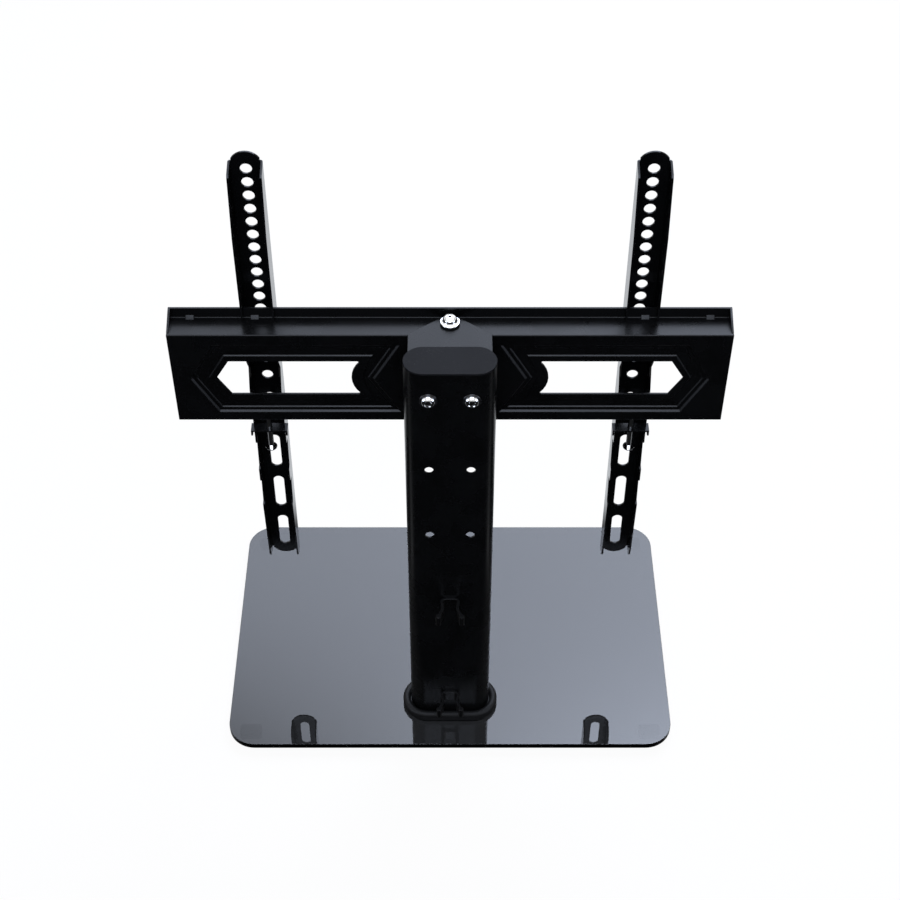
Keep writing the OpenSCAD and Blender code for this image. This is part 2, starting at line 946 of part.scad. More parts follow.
// one notch in the edge of the flange, from height top down to height low
function notch(top, low) = [
    [depth_land, top], [depth_notch, top - notch_slant],
    [depth_notch + notch_rise, low + 1], [depth_land, low]
];

// the flange's outline: depth behind the web, height
function flange_line() = concat(
    [
        [-arm_t, arm_low], [-arm_t, arm_top], [0, arm_top], [0, arm_top - arch],
        [depth_top - 1.5, arm_top - arch - 3.4], [depth_top, arm_top - arch - 5.4],
        [hook_depth - 0.4, bar_z + 80], [hook_depth, bar_z + lip_h + 4], [hook_depth, bar_z + seat],
        [hook_depth - 0.5, bar_z + seat], [hook_depth - hook_t, bar_z + gusset + 1.4],
        [hook_depth - hook_t, bar_z + lip_h + seat], [channel_depth, bar_z + lip_h + seat],
        [channel_depth, bar_mid + mid_marks[0]], [depth_land, bar_mid + mid_marks[1]],
        [depth_land, bar_mid + mid_marks[2]], [depth_notch, bar_mid + mid_marks[3]],
        [depth_notch + notch_rise, bar_mid + mid_marks[4]], [depth_land, bar_mid + mid_marks[5]],
        [depth_land, bar_mid + mid_marks[6]], [channel_depth, bar_mid + mid_marks[7]],
        [channel_depth, bar_bottom - lip_h - 1.5], [depth_land, bar_bottom - lip_h - 2.7],
        [depth_land, lock_z + lock_t / 2 + fit], [channel_depth, lock_z + lock_t / 2 + fit],
        [channel_depth, lock_z - lock_t / 2], [depth_land, lock_z - lock_t / 2]
    ],
    notch(lock_z - first_notch[0], lock_z - first_notch[1]),
    notch(lock_z - second_notch[0], lock_z - second_notch[1]),
    [for (p = low_taper) [depth_land - p[0], arm_low + p[1]]],
    [[0, arm_low + arch], [0, arm_low]]
);

// channel section of the arm, open to the rear
module arm_section() {
    bend = arm_t + bend_in;
    depth = 2 * hook_depth;
    difference() {
        translate([0, face_y - depth / 2])
            soft_rect(arm_w, depth, bend);
        translate([0, web_y - depth / 2])
            soft_rect(arm_w - 2 * arm_t, depth, bend_in);
        translate([-arm_w, face_y - 2 * depth])
            square([2 * arm_w, depth + bend]);
    }
}

// front outline of the arm: past the flanges only the flat web between the bends goes on, to a round end
module arm_front() {
    half = arm_w / 2 - arm_t - bend_in;
    rise = arch - 2;
    round_r = (half * half + rise * rise) / (2 * rise);
    translate([-arm_w / 2, arm_low + arch])
        square([arm_w, arm_top - arm_low - 2 * arch]);
    for (at = [arm_top - round_r, arm_low + round_r])
        intersection() {
            translate([0, at])
                circle(r = round_r);
            translate([-half, at < bar_z ? arm_low : arm_top - arch - 1])
                square([2 * half, arch + 1]);
        }
}

// middles of the three holes between the top row and the slots
mid_holes = [bar_mid - 12.4, bar_mid - 30.7, bar_mid - 55.4];

module arm_holes() {
    for (i = [0:hole_count - 1])
        translate([0, arm_top - hole_first - i * hole_pitch])
            circle(r = hole_r);
    for (z = mid_holes)
        translate([0, z])
            circle(r = hole_r);
    for (i = [0:2])
        translate([0, arm_low + slot_low + i * slot_pitch])
            rotate(90)
                stadium(slot_len, 2 * hole_r);
}

module arm() {
    color(black)
        translate([arm_x, 0, 0])
            difference() {
                intersection() {
                    translate([0, 0, arm_low])
                        linear_extrude(arm_top - arm_low)
                            arm_section();
                    translate([-arm_w, 0, 0])
                        rotate([90, 0, 90])
                            linear_extrude(2 * arm_w)
                                polygon([for (p = flange_line()) [web_y - p[0], p[1]]]);
                    translate([0, face_y + 1, 0])
                        rotate([90, 0, 0])
                            linear_extrude(2 * hook_depth)
                                arm_front();
                }
                translate([0, face_y + 1, 0])
                    rotate([90, 0, 0])
                        linear_extrude(arm_t + 2)
                            arm_holes();
            }
}

module lock_plate() {
    ear_d = 4;
    color(dark_grey)
        translate([arm_x, lock_y, lock_z - lock_t / 2])
            difference() {
                union() {
                    translate([-lock_w / 2, -lock_d / 2, 0])
                        cube([lock_w, lock_d, lock_t]);
                    for (side = [-1, 1])
                        translate([side * (lock_w - lock_t) / 2 - lock_t / 2, -lock_d / 2, -ear_h])
                            cube([lock_t, ear_d, ear_h + eps]);
                }
                translate([0, 0, -1])
                    cylinder(r = lock_r + fit, h = lock_t + 2);
            }
}

module lock_screw() {
    head_h = 0.6 * lock_head_r;
    color(chrome)
        translate([arm_x, lock_y, lock_tip - lock_len]) {
            cylinder(r = lock_r, h = lock_len);
            translate([0, 0, eps])
                mirror([0, 0, 1])
                    dome_head(lock_head_r, head_h, lock_head_r);
        }
}

module to_left() {
    mirror([1, 0, 0])
        children();
}

module right_arm() {
    arm();
}

module left_arm() {
    to_left()
        arm();
}

module right_lock_plate() {
    lock_plate();
}

module left_lock_plate() {
    to_left()
        lock_plate();
}

module right_lock_screw() {
    lock_screw();
}

module left_lock_screw() {
    to_left()
        lock_screw();
}

glass_base();
rubber_feet();
under_plate();
under_gasket();
foot_gasket();
base_bolts();
column_foot();
foot_collar();
column();
column_cap();
upper_cable_clip();
lower_cable_clip();
head_bracket();
nut_bar();
height_screws();
height_washers();
top_pivot_bolt();
top_spring_washer();
top_pivot_nut();
bottom_pivot_bolt();
bottom_spring_washer();
bottom_pivot_nut();
slip_washers();
crossbar();
left_arm();
right_arm();
left_lock_plate();
right_lock_plate();
left_lock_screw();
right_lock_screw();
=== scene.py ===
import json
import math

import bmesh
import bpy
import numpy as np
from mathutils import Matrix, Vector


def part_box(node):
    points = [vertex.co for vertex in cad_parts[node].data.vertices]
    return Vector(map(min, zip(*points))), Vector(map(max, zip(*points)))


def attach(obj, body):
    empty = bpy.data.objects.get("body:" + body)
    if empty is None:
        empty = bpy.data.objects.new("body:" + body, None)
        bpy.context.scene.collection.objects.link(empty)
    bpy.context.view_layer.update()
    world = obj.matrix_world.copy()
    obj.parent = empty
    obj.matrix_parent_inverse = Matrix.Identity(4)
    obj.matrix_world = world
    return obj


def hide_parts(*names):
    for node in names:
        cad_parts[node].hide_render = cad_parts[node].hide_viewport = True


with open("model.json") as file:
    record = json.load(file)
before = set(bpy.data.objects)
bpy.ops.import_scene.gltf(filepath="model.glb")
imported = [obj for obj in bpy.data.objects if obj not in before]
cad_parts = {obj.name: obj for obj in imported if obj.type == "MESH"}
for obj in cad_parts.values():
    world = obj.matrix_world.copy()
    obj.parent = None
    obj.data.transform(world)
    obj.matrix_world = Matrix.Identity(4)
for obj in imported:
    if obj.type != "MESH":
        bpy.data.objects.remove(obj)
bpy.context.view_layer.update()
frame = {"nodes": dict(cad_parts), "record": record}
nodes = frame["nodes"]
scene = bpy.context.scene
mm = 0.001  # the stand's pieces are in millimetres times this, the stage is in metres

bodyOf = {}
for bodyName, members in frame["record"]["behaviour"]["bodies"].items():
    bodyOf.update({member: bodyName for member in members})
slotOf = {part["node"]: part["material_slot"] for part in frame["record"]["subparts"]}


def addObject(name, data):
    added = bpy.data.objects.new(name, data)
    scene.collection.objects.link(added)
    return added


# small helpers for node trees

def feed(tree, socket, value):
    # a socket is linked, a plain value is written on the input itself
    if isinstance(value, bpy.types.NodeSocket):
        tree.links.new(value, socket)
    elif value is not None:
        socket.default_value = value


def calc(tree, operation, first, second=None, clamp=False):
    node = tree.nodes.new("ShaderNodeMath")
    node.operation = operation
    node.use_clamp = clamp
    feed(tree, node.inputs[0], first)
    feed(tree, node.inputs[1], second)
    return node.outputs[0]


def ramp(tree, value, low, high, toLow=0.0, toHigh=1.0):
    # smooth step from toLow to toHigh while value goes from low to high
    node = tree.nodes.new("ShaderNodeMapRange")
    node.interpolation_type = "SMOOTHSTEP"
    for index, item in enumerate((value, low, high, toLow, toHigh)):
        feed(tree, node.inputs[index], item)
    return node.outputs[0]


def noise(tree, point, scale, detail):
    node = tree.nodes.new("ShaderNodeTexNoise")
    feed(tree, node.inputs["Vector"], point)
    feed(tree, node.inputs["Scale"], scale)
    node.inputs["Detail"].default_value = detail
    return node.outputs["Fac"]


def blendColour(tree, mask, first, second):
    # each colour is three numbers or a socket
    node = tree.nodes.new("ShaderNodeMix")
    node.data_type = "RGBA"
    feed(tree, node.inputs[0], mask)
    for index, colour in ((6, first), (7, second)):
        feed(tree, node.inputs[index], (*colour, 1.0) if isinstance(colour, tuple) else colour)
    return node.outputs[2]


def split(tree, vector):
    node = tree.nodes.new("ShaderNodeSeparateXYZ")
    feed(tree, node.inputs[0], vector)
    return node.outputs


def attribute(tree, name):
    node = tree.nodes.new("ShaderNodeAttribute")
    node.attribute_name = name
    return node.outputs["Fac"]


def geometry(tree, name):
    return tree.nodes.new("ShaderNodeNewGeometry").outputs[name]


def newGroup(name, inputs, outputs):
    tree = bpy.data.node_groups.new(name, "ShaderNodeTree")
    for label, value in inputs.items():
        socket = tree.interface.new_socket(name=label, in_out="INPUT", socket_type="NodeSocketFloat")
        socket.default_value = value
    for label in outputs:
        tree.interface.new_socket(name=label, in_out="OUTPUT", socket_type="NodeSocketFloat")
    given = tree.nodes.new("NodeGroupInput").outputs
    made = tree.nodes.new("NodeGroupOutput").inputs
    point = tree.nodes.new("ShaderNodeTexCoord").outputs["Object"]
    return tree, given, made, point


def place(tree, group, values):
    node = tree.nodes.new("ShaderNodeGroup")
    node.node_tree = group
    for label, value in values.items():
        feed(tree, node.inputs[label], value)
    return node.outputs


# shared effects, each a group with named inputs and outputs

# Height: two octaves of fine noise. Tone: broad, slow change over the surface
def makeGrain(look):
    tree, given, made, point = newGroup("grain", look["inputs"], ["Height", "Tone"])
    fine = noise(tree, point, given["Fine Scale"], detail=3.0)
    finer = noise(tree, point, calc(tree, "MULTIPLY", given["Fine Scale"], look["octave"]), detail=2.0)
    fine = calc(tree, "MULTIPLY", fine, look["shares"][0])
    finer = calc(tree, "MULTIPLY", finer, look["shares"][1])
    feed(tree, made["Height"], calc(tree, "ADD", fine, finer))
    feed(tree, made["Tone"], ramp(tree, noise(tree, point, given["Broad Scale"], detail=4.0), *look["tone"]))
    return tree


# the middle of a rolled edge carries edge = 1, and noise breaks the line up; the mask marks a lighter edge
# line that is partly real wear and partly a painted edge highlight
def makeEdgeWearAndSheen(look):
    tree, given, made, point = newGroup("edgeWearAndSheen", look["inputs"], ["Mask"])
    broken = ramp(tree, noise(tree, point, given["Break Scale"], detail=4.0), *look["broken"])
    line = calc(tree, "MULTIPLY", ramp(tree, attribute(tree, "edge"), *look["line"]), broken)
    feed(tree, made["Mask"], calc(tree, "MULTIPLY", line, given["Amount"], clamp=True))
    return tree


# specks that lie on whatever faces up
def makeDust(look):
    tree, given, made, point = newGroup("dust", look["inputs"], ["Mask"])
    upward = ramp(tree, split(tree, geometry(tree, "Normal"))["Z"], *look["upward"])
    specks = ramp(tree, noise(tree, point, given["Speck Scale"], detail=1.0), *look["specks"])
    patches = ramp(tree, noise(tree, point, look["patchScale"], detail=2.0), *look["patches"])
    lying = calc(tree, "MULTIPLY", calc(tree, "MULTIPLY", specks, patches), upward)
    feed(tree, made["Mask"], calc(tree, "MULTIPLY", lying, given["Amount"], clamp=True))
    return tree


# Haze: soft wiped patches in one direction. Wave: the slow roll of float glass
def makeSmears(look):
    tree, given, made, point = newGroup("smears", look["inputs"], ["Haze", "Wave"])
    stretch = tree.nodes.new("ShaderNodeMapping")
    stretch.inputs["Scale"].default_value = look["stretch"]
    stretch.inputs["Rotation"].default_value = (0.0, 0.0, look["slant"])
    feed(tree, stretch.inputs["Vector"], point)
    wiped = ramp(tree, noise(tree, stretch.outputs[0], look["wipeScale"], detail=5.0), *look["wiped"])
    feed(tree, made["Haze"], calc(tree, "MULTIPLY", wiped, given["Haze"]))
    feed(tree, made["Wave"], noise(tree, point, given["Wave Scale"], detail=1.0))
    return tree


# apart from shares, a pair is where a mask starts and where it is full
grain = makeGrain({
    "inputs": {"Fine Scale": 900.0, "Broad Scale": 30.0}, "octave": 2.7, "shares": (0.7, 0.3),
    "tone": (0.3, 0.7),
})
edgeWearAndSheen = makeEdgeWearAndSheen({
    "inputs": {"Amount": 0.5, "Break Scale": 220.0}, "broken": (0.42, 0.62), "line": (0.35, 0.95),
})
dust = makeDust({
    "inputs": {"Amount": 0.3, "Speck Scale": 1500.0}, "upward": (0.5, 0.95), "specks": (0.66, 0.74),
    "patchScale": 45.0, "patches": (0.35, 0.75),
})
smears = makeSmears({
    "inputs": {"Haze": 0.5, "Wave Scale": 9.0}, "stretch": (1.0, 0.25, 1.0), "slant": 0.6,
    "wipeScale": 38.0, "wiped": (0.5, 0.8),
})
print("node groups made")


# finishes

def newFinish(name):
    material = bpy.data.materials.new(name)
    material.use_nodes = True
    tree = material.node_tree
    return material, tree, tree.nodes["Principled BSDF"]


def emboss(tree, shader, height, depth):
    # height, from 0 to 1, stands up to depth out of the surface
    bump = tree.nodes.new("ShaderNodeBump")
    bump.inputs["Strength"].default_value = 1.0
    bump.inputs["Distance"].default_value = depth
    feed(tree, bump.inputs["Height"], height)
    feed(tree, shader.inputs["Normal"], bump.outputs["Normal"])


# opaque: the colour drifts with Tone, the edges turn lighter, partly real wear and partly a painted edge
# highlight, dust lies on top, and the bottom of a screw's recess is painted dark as shade
def surfaceFinish(name, look):
    material, tree, shader = newFinish(name)
    shader.inputs["Metallic"].default_value = look["metal"]
    shader.inputs["Specular IOR Level"].default_value = look["specular"]
    fine = place(tree, grain, {"Fine Scale": look["fineScale"], "Broad Scale": look["broadScale"]})
    wornAndSheen = place(tree, edgeWearAndSheen, {"Amount": look["wearAndSheen"]})["Mask"]
    settled = place(tree, dust, {"Amount": look["dust"]})["Mask"]
    pitShadeMask = ramp(tree, attribute(tree, "pitShade"), *look["pitShadeMask"])
    base = blendColour(tree, fine["Tone"], look["colour"], look["drift"])
    # the edges turn lighter: partly real wear, partly a painted edge highlight
    base = blendColour(tree, wornAndSheen, base, look["wornAndSheen"])
    base = blendColour(tree, settled, base, look["dustColour"])
    # the deep part of a screw's recess is painted dark as shade
    base = blendColour(tree, pitShadeMask, base, look["pitShadeColour"])
    feed(tree, shader.inputs["Base Color"], base)
    rough = ramp(tree, fine["Tone"], 0.0, 1.0, *look["rough"])
    rough = calc(tree, "ADD", rough, calc(tree, "MULTIPLY", settled, look["dustRough"]), clamp=True)
    feed(tree, shader.inputs["Roughness"], rough)
    emboss(tree, shader, fine["Height"], look["depth"])
    return material


# glass: wiped haze and dust on the tint, which is darkest where a side shows it the long way through,
# and a ground arris round the top, whose lighter tint is partly a painted edge highlight
def glassFinish(name, look):
    material, tree, shader = newFinish(name)
    shader.inputs["Transmission Weight"].default_value = 1.0
    shader.inputs["IOR"].default_value = look["ior"]
    smear = place(tree, smears, {"Haze": look["haze"]})
    wornAndSheen = place(tree, edgeWearAndSheen, {"Amount": look["wearAndSheen"]})["Mask"]
    settled = place(tree, dust, {"Amount": look["dust"]})["Mask"]
    level = calc(tree, "ABSOLUTE", split(tree, geometry(tree, "Normal"))["Z"])
    tone = blendColour(tree, smear["Haze"], look["colour"], look["hazeColour"])
    tone = blendColour(tree, ramp(tree, level, *look["side"], 1.0, 0.0), tone, look["sideColour"])
    # the edges turn lighter: partly real wear, partly a painted edge highlight
    tone = blendColour(tree, wornAndSheen, tone, look["wornAndSheen"])
    feed(tree, shader.inputs["Base Color"], blendColour(tree, settled, tone, look["dustColour"]))
    rough = calc(tree, "ADD", look["rough"], calc(tree, "MULTIPLY", smear["Haze"], look["hazeRough"]))
    marks = calc(tree, "MULTIPLY", calc(tree, "ADD", wornAndSheen, settled), look["wornRough"])
    feed(tree, shader.inputs["Roughness"], calc(tree, "ADD", rough, marks, clamp=True))
    emboss(tree, shader, smear["Wave"], look["depth"])
    return material


anyFinish = {  # what each opaque finish starts from
    "metal": 0.0, "specular": 0.5, "broadScale": 30.0, "dustColour": (0.32, 0.31, 0.3), "dustRough": 0.3,
    # the colour that paints shade into the deep part of a screw's recess, and where that starts and is full
    "pitShadeColour": (0.01, 0.01, 0.011), "pitShadeMask": (0.2, 0.8),
}
# each finish's edge colour is lighter: partly real wear, partly a painted edge highlight
blackPaint = {
    **anyFinish, "colour": (0.0018, 0.0019, 0.0021), "drift": (0.0027, 0.0028, 0.0031),
    "wornAndSheen": (0.016, 0.017, 0.019), "rough": (0.25, 0.3), "specular": 0.17, "fineScale": 1100.0,
    "depth": 0.006 * mm, "wearAndSheen": 0.35, "dust": 0.1,
}
darkPlastic = {
    **anyFinish, "colour": (0.006, 0.006, 0.007), "drift": (0.008, 0.008, 0.009),
    "wornAndSheen": (0.02, 0.02, 0.022), "rough": (0.38, 0.44), "specular": 0.16, "fineScale": 1900.0,
    "depth": 0.01 * mm, "wearAndSheen": 0.4, "dust": 0.15,
}
chromePlate = {
    **anyFinish, "colour": (0.92, 0.93, 0.94), "drift": (0.86, 0.87, 0.89), "wornAndSheen": (0.95, 0.95, 0.96),
    "metal": 1.0, "rough": (0.06, 0.1), "fineScale": 2600.0, "depth": 0.001 * mm, "wearAndSheen": 0.2,
    "dust": 0.1, "broadScale": 260.0,
}
zincPlate = {
    **anyFinish, "colour": (0.56, 0.57, 0.6), "drift": (0.44, 0.45, 0.48), "wornAndSheen": (0.68, 0.68, 0.7),
    "metal": 1.0, "rough": (0.26, 0.36), "fineScale": 2100.0, "depth": 0.004 * mm, "wearAndSheen": 0.4,
    "dust": 0.1, "broadScale": 180.0,
}
blackRubber = {
    **anyFinish, "colour": (0.012, 0.012, 0.012), "drift": (0.02, 0.02, 0.02),
    "wornAndSheen": (0.035, 0.035, 0.035), "rough": (0.62, 0.75), "specular": 0.3, "fineScale": 1500.0,
    "depth": 0.03 * mm, "wearAndSheen": 0.3, "dust": 0.3,
}
paleNylon = {
    **anyFinish, "colour": (0.72, 0.72, 0.69), "drift": (0.66, 0.66, 0.63), "wornAndSheen": (0.8, 0.8, 0.78),
    "rough": (0.42, 0.5), "specular": 0.4, "fineScale": 1300.0, "depth": 0.008 * mm, "wearAndSheen": 0.3,
    "dust": 0.1,
}
collarPlastic = {
    **darkPlastic, "colour": (0.003, 0.003, 0.0034), "drift": (0.004, 0.004, 0.0044), "rough": (0.5, 0.56),
}
clipPlastic = {
    **darkPlastic, "colour": (0.0018, 0.0018, 0.002), "drift": (0.0026, 0.0026, 0.0028),
    "rough": (0.26, 0.3), "specular": 0.3,
}
smokedGlass = {
    "colour": (0.014, 0.0145, 0.016), "hazeColour": (0.017, 0.0175, 0.019), "haze": 0.5, "hazeRough": 0.03,
    "sideColour": (0.0001, 0.0001, 0.0001), "side": (0.1, 0.4), "ior": 1.52, "rough": 0.0,
    "wornAndSheen": (0.08, 0.084, 0.09), "wearAndSheen": 0.3, "wornRough": 0.2, "depth": 0.002 * mm,
    "dustColour": (0.2, 0.2, 0.2), "dust": 0.15,
}

# one material for each of the record's slots
finishes = {
    "base_paint": surfaceFinish("basePaint", blackPaint),
    "column_paint": surfaceFinish("columnPaint", blackPaint),
    "bracket_paint": surfaceFinish("bracketPaint", {**blackPaint, "specular": 0.145}),
    "bar_paint": surfaceFinish("barPaint", {**blackPaint, "specular": 0.155}),
    "arm_paint": surfaceFinish("armPaint", {**blackPaint, "rough": (0.1, 0.13)}),
    "plate_paint": surfaceFinish("platePaint", blackPaint),
    "collar_plastic": surfaceFinish("collarPlastic", collarPlastic),
    "cap_plastic": surfaceFinish("capPlastic", {**darkPlastic, "rough": (0.48, 0.54), "specular": 0.05}),
    "clip_plastic": surfaceFinish("clipPlastic", clipPlastic),
    "washer_plastic": surfaceFinish("washerPlastic", {**darkPlastic, "rough": (0.16, 0.2), "specular": 0.7}),
    "slip_nylon": surfaceFinish("slipNylon", paleNylon),
    "screw_chrome": surfaceFinish("screwChrome", chromePlate),
    "bolt_chrome": surfaceFinish("boltChrome", chromePlate),
    "lock_chrome": surfaceFinish("lockChrome", chromePlate),
    "washer_zinc": surfaceFinish("washerZinc", zincPlate),
    "bolt_zinc": surfaceFinish("boltZinc", zincPlate),
    "foot_rubber": surfaceFinish("footRubber", blackRubber),
    "gasket_rubber": surfaceFinish("gasketRubber", blackRubber),
    "smoked_glass": glassFinish("smokedGlass", smokedGlass),
}
print("finishes made:", len(finishes))


def shadeSmooth(build, below):
    # edges flatter than below, in degrees, are shaded smooth
    for face in build.faces:
        face.smooth = True
    for edge in build.edges:
        edge.smooth = len(edge.link_faces) != 2 or edge.calc_face_angle() < math.radians(below)


def finishPiece(piece, nodeName):
    piece.data.materials.append(finishes[slotOf[nodeName]])
    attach(piece, bodyOf[nodeName])
    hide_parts(nodeName)


# CAD pieces with their edges rounded

# A merged copy of a CAD node's mesh. Triangles in one plane become whole faces, and every sharp edge
# gets a rolled edge of the given width, whose middle carries the attribute edge = 1.
def dressed(nodeName, width, look):
    build = bmesh.new()
    build.from_mesh(nodes[nodeName].data)
    bmesh.ops.remove_doubles(build, verts=build.verts, dist=look["mergeWithin"])
    bmesh.ops.dissolve_limit(build, angle_limit=look["flatBelow"], verts=build.verts, edges=build.edges)
    sharp = [e for e in build.edges if len(e.link_faces) == 2 and e.calc_face_angle() > look["sharpAbove"]]
    made = bmesh.ops.bevel(build, geom=sharp, offset=width, offset_type="OFFSET", segments=look["segments"],
                           profile=0.5, affect="EDGES", clamp_overlap=True, material=-1)
    layer = build.verts.layers.float.new("edge")
    rolled = set(made["faces"])
    for vert in made["verts"]:
        if vert.is_valid and all(face in rolled for face in vert.link_faces):
            vert[layer] = 1.0
    shadeSmooth(build, look["smoothBelow"])
    mesh = bpy.data.meshes.new(nodeName + "_dressed")
    build.to_mesh(mesh)
    build.free()
    if "custom_normal" in mesh.attributes:
        mesh.attributes.remove(mesh.attributes["custom_normal"])
    piece = addObject(nodeName + "_dressed", mesh)
    even = piece.modifiers.new("evenNormals", "WEIGHTED_NORMAL")
    even.keep_sharp = True
    even.weight = look["areaWeight"]
    finishPiece(piece, nodeName)
    print("dressed", nodeName, len(mesh.polygons), "faces")


rolling = {
    "mergeWithin": 0.002 * mm, "flatBelow": math.radians(0.25), "sharpAbove": math.radians(28.0),
    "segments": 2, "smoothBelow": 50.0, "areaWeight": 100,
}
rolledEdges = {  # the rolled edge's width on each piece, in millimetres
    "glass_base": 0.9, "rubber_feet": 0.6, "foot_collar": 0.5, "column": 0.25, "column_cap": 0.35,
    "upper_cable_clip": 0.25, "lower_cable_clip": 0.25, "head_bracket": 0.3, "crossbar": 0.3,
    "left_arm": 0.25, "right_arm": 0.25, "left_lock_plate": 0.4, "right_lock_plate": 0.4,
    "height_washers": 0.5, "top_spring_washer": 0.2, "bottom_spring_washer": 0.2,
    "top_pivot_nut": 0.35, "bottom_pivot_nut": 0.35, "column_foot": 0.3, "nut_bar": 0.3, "under_plate": 0.3,
}
for nodeName, width in rolledEdges.items():
    dressed(nodeName, width * mm, rolling)


# screws and bolts: a profile turned round its axis, with the recess and thread worked into it

# Each grid is rows x around x 4 (place, and the mask where the recess is painted dark as shade), its first
# and last row shrunk to a pole. Rows are joined by quads between neighbours round the axis, and the poles
# are closed by fans.
def turnedMesh(grids):
    points, faces = [], []
    start = 0  # the number of the grid's first point
    for grid in grids:
        rows, around = grid.shape[:2]
        body = grid[1:-1].reshape(-1, 4)
        points.append(np.vstack([grid[0, :1], body, grid[-1, :1]]))
        ring = np.arange(around)
        after = (ring + 1) % around
        low = start + 1 + np.arange(rows - 3)[:, None] * around
        high = low + around
        quads = np.stack([low + ring, low + after, high + after, high + ring], -1).reshape(-1, 4)
        last = start + 1 + (rows - 3) * around
        pole = start + 1 + len(body)
        top = np.stack([np.full(around, start), start + 1 + after, start + 1 + ring], -1)
        end = np.stack([np.full(around, pole), last + ring, last + after], -1)
        faces += quads[:, ::-1].tolist() + top[:, ::-1].tolist() + end[:, ::-1].tolist()
        start += len(body) + 2
    return np.vstack(points), faces


def smoothed(value, width):
    # 0 below zero, 1 above width, 3t^2 - 2t^3 between
    t = np.clip(value / width, 0.0, 1.0)
    return t * t * (3.0 - 2.0 * t)


# The profile goes over the head, down its rim, under it, down the shaft and over the tip, and is
# repeated round the axis. The thread is a wave that climbs one pitch a turn, taken off the radius.
# The cross recess is a depth taken off the head's height, inside two crossed bars, less further out.
def screwGrid(look, length):
    headRadius, shaftRadius, around = look["headRadius"], look["shaftRadius"], look["around"]
    turn = np.linspace(0.0, 2.0 * np.pi, around, endpoint=False)[None, :]
    t = np.linspace(0.0, 1.0, look["rings"])
    domeRadius = np.interp(t, look["shapeT"], look["shapeR"]) * headRadius
    domeHeight = np.interp(domeRadius / headRadius, look["curveR"], look["curveH"]) * look["headHeight"]
    under = np.linspace(headRadius * look["underRim"], shaftRadius, look["underRings"])
    rows = int(length / look["pitch"] * look["ringsPerTurn"])
    tipRadius = np.array(look["tipR"]) * shaftRadius
    tipHeight = -length - np.array(look["tipDown"]) * shaftRadius
    radius = np.concatenate([domeRadius, under, np.full(rows, shaftRadius), tipRadius])
    height = np.concatenate([domeHeight, np.zeros_like(under), np.linspace(0.0, -length, rows), tipHeight])
    radius = np.repeat(radius[:, None], around, 1)
    height = np.repeat(height[:, None], around, 1)

    first = len(domeRadius) + len(under)
    shaft = slice(first, first + rows)
    thread = np.abs(((height[shaft] / look["pitch"] + turn / (2 * np.pi)) % 1.0) * 2.0 - 1.0)
    threaded = np.clip((-height[shaft] - look["plain"]) / look["pitch"], 0.0, 1.0)
    radius[shaft] -= look["threadDepth"] * thread * threaded
    x, y = radius * np.cos(turn), radius * np.sin(turn)

    edge, half, reach = look["recessEdge"], look["recessHalf"], look["recessReach"]
    barX = smoothed(half - np.abs(y), edge) * smoothed(reach - np.abs(x), edge)
    barY = smoothed(half - np.abs(x), edge) * smoothed(reach - np.abs(y), edge)
    sunk = np.maximum(barX, barY) * np.clip(look["recessFade"] - np.hypot(x, y) / reach, 0.0, 1.0)
    sunk[len(domeRadius):] = 0.0
    # the deepest part of the recess, which the finish paints dark as shade
    pitShade = smoothed(sunk - look["pitFrom"], look["pitEdge"])
    return np.stack([x, y, height - sunk * look["recessDepth"], pitShade], -1)


def shaftLength(look, whole):
    # what is left of the screw's whole length without its head and tip
    return whole - look["seatDown"] - look["tipDown"][-1] * look["shaftRadius"]


# The grid is turned about its own z axis, then that axis is laid along the given direction, with the
# head's underside at centre.
def laid(grid, centre, along, turnBy):
    c, s = math.cos(turnBy), math.sin(turnBy)
    axis = np.array(along, float)
    side = np.array([1.0, 0.0, 0.0])
    turned = grid[..., :3] @ np.array([[c, s, 0.0], [-s, c, 0.0], [0.0, 0.0, 1.0]])
    turned = turned @ np.stack([side, np.cross(axis, side), axis]) + np.array(centre)
    return np.concatenate([turned, grid[..., 3:]], -1)


creaseAngle = 40.0  # degrees between two faces of a turned piece, past which their edge is sharp


def turnedPiece(name, grids, nodeName):
    points, faces = turnedMesh(grids)
    mesh = bpy.data.meshes.new(name)
    mesh.from_pydata(points[:, :3].tolist(), [], faces)
    pitShade = mesh.attributes.new("pitShade", "FLOAT", "POINT")
    pitShade.data.foreach_set("value", points[:, 3].astype(np.float32))
    build = bmesh.new()
    build.from_mesh(mesh)
    bmesh.ops.recalc_face_normals(build, faces=build.faces)
    shadeSmooth(build, creaseAngle)
    build.to_mesh(mesh)
    build.free()
    finishPiece(addObject(name, mesh), nodeName)
    print("turned", name, len(mesh.polygons), "faces")


# rings are those over the head, around the points in each. shape is the head's radius along the profile,
# curve its height over its radius, tip the radius of the tip's rings and how far they lie below the
# shaft, all as shares. seatDown goes from the top of the CAD head to the face that it sits on.
panHead = {
    "headRadius": 5.5 * mm, "headHeight": 3.4 * mm, "seatDown": 3.4 * mm, "rings": 46, "around": 144,
    "shapeT": [0.0, 0.85, 1.0], "shapeR": [0.0, 0.93, 1.0],
    "curveR": [0.0, 0.2, 0.4, 0.6, 0.75, 0.86, 0.94, 0.985, 1.0],
    "curveH": [1.0, 0.985, 0.94, 0.85, 0.74, 0.61, 0.45, 0.28, 0.12],
    "underRim": 0.985, "underRings": 4, "tipR": [0.9, 0.72, 0.3, 0.0], "tipDown": [0.1, 0.32, 0.34, 0.34],
    "shaftRadius": 3.0 * mm, "pitch": 1.0 * mm, "threadDepth": 0.45 * mm, "ringsPerTurn": 8, "plain": 0.0,
    "recessHalf": 0.72 * mm, "recessReach": 3.0 * mm, "recessEdge": 0.16 * mm, "recessDepth": 2.1 * mm,
    "recessFade": 1.15, "pitFrom": 0.25, "pitEdge": 0.15, "turnBy": 0.62, "turnApart": 0.1,
}
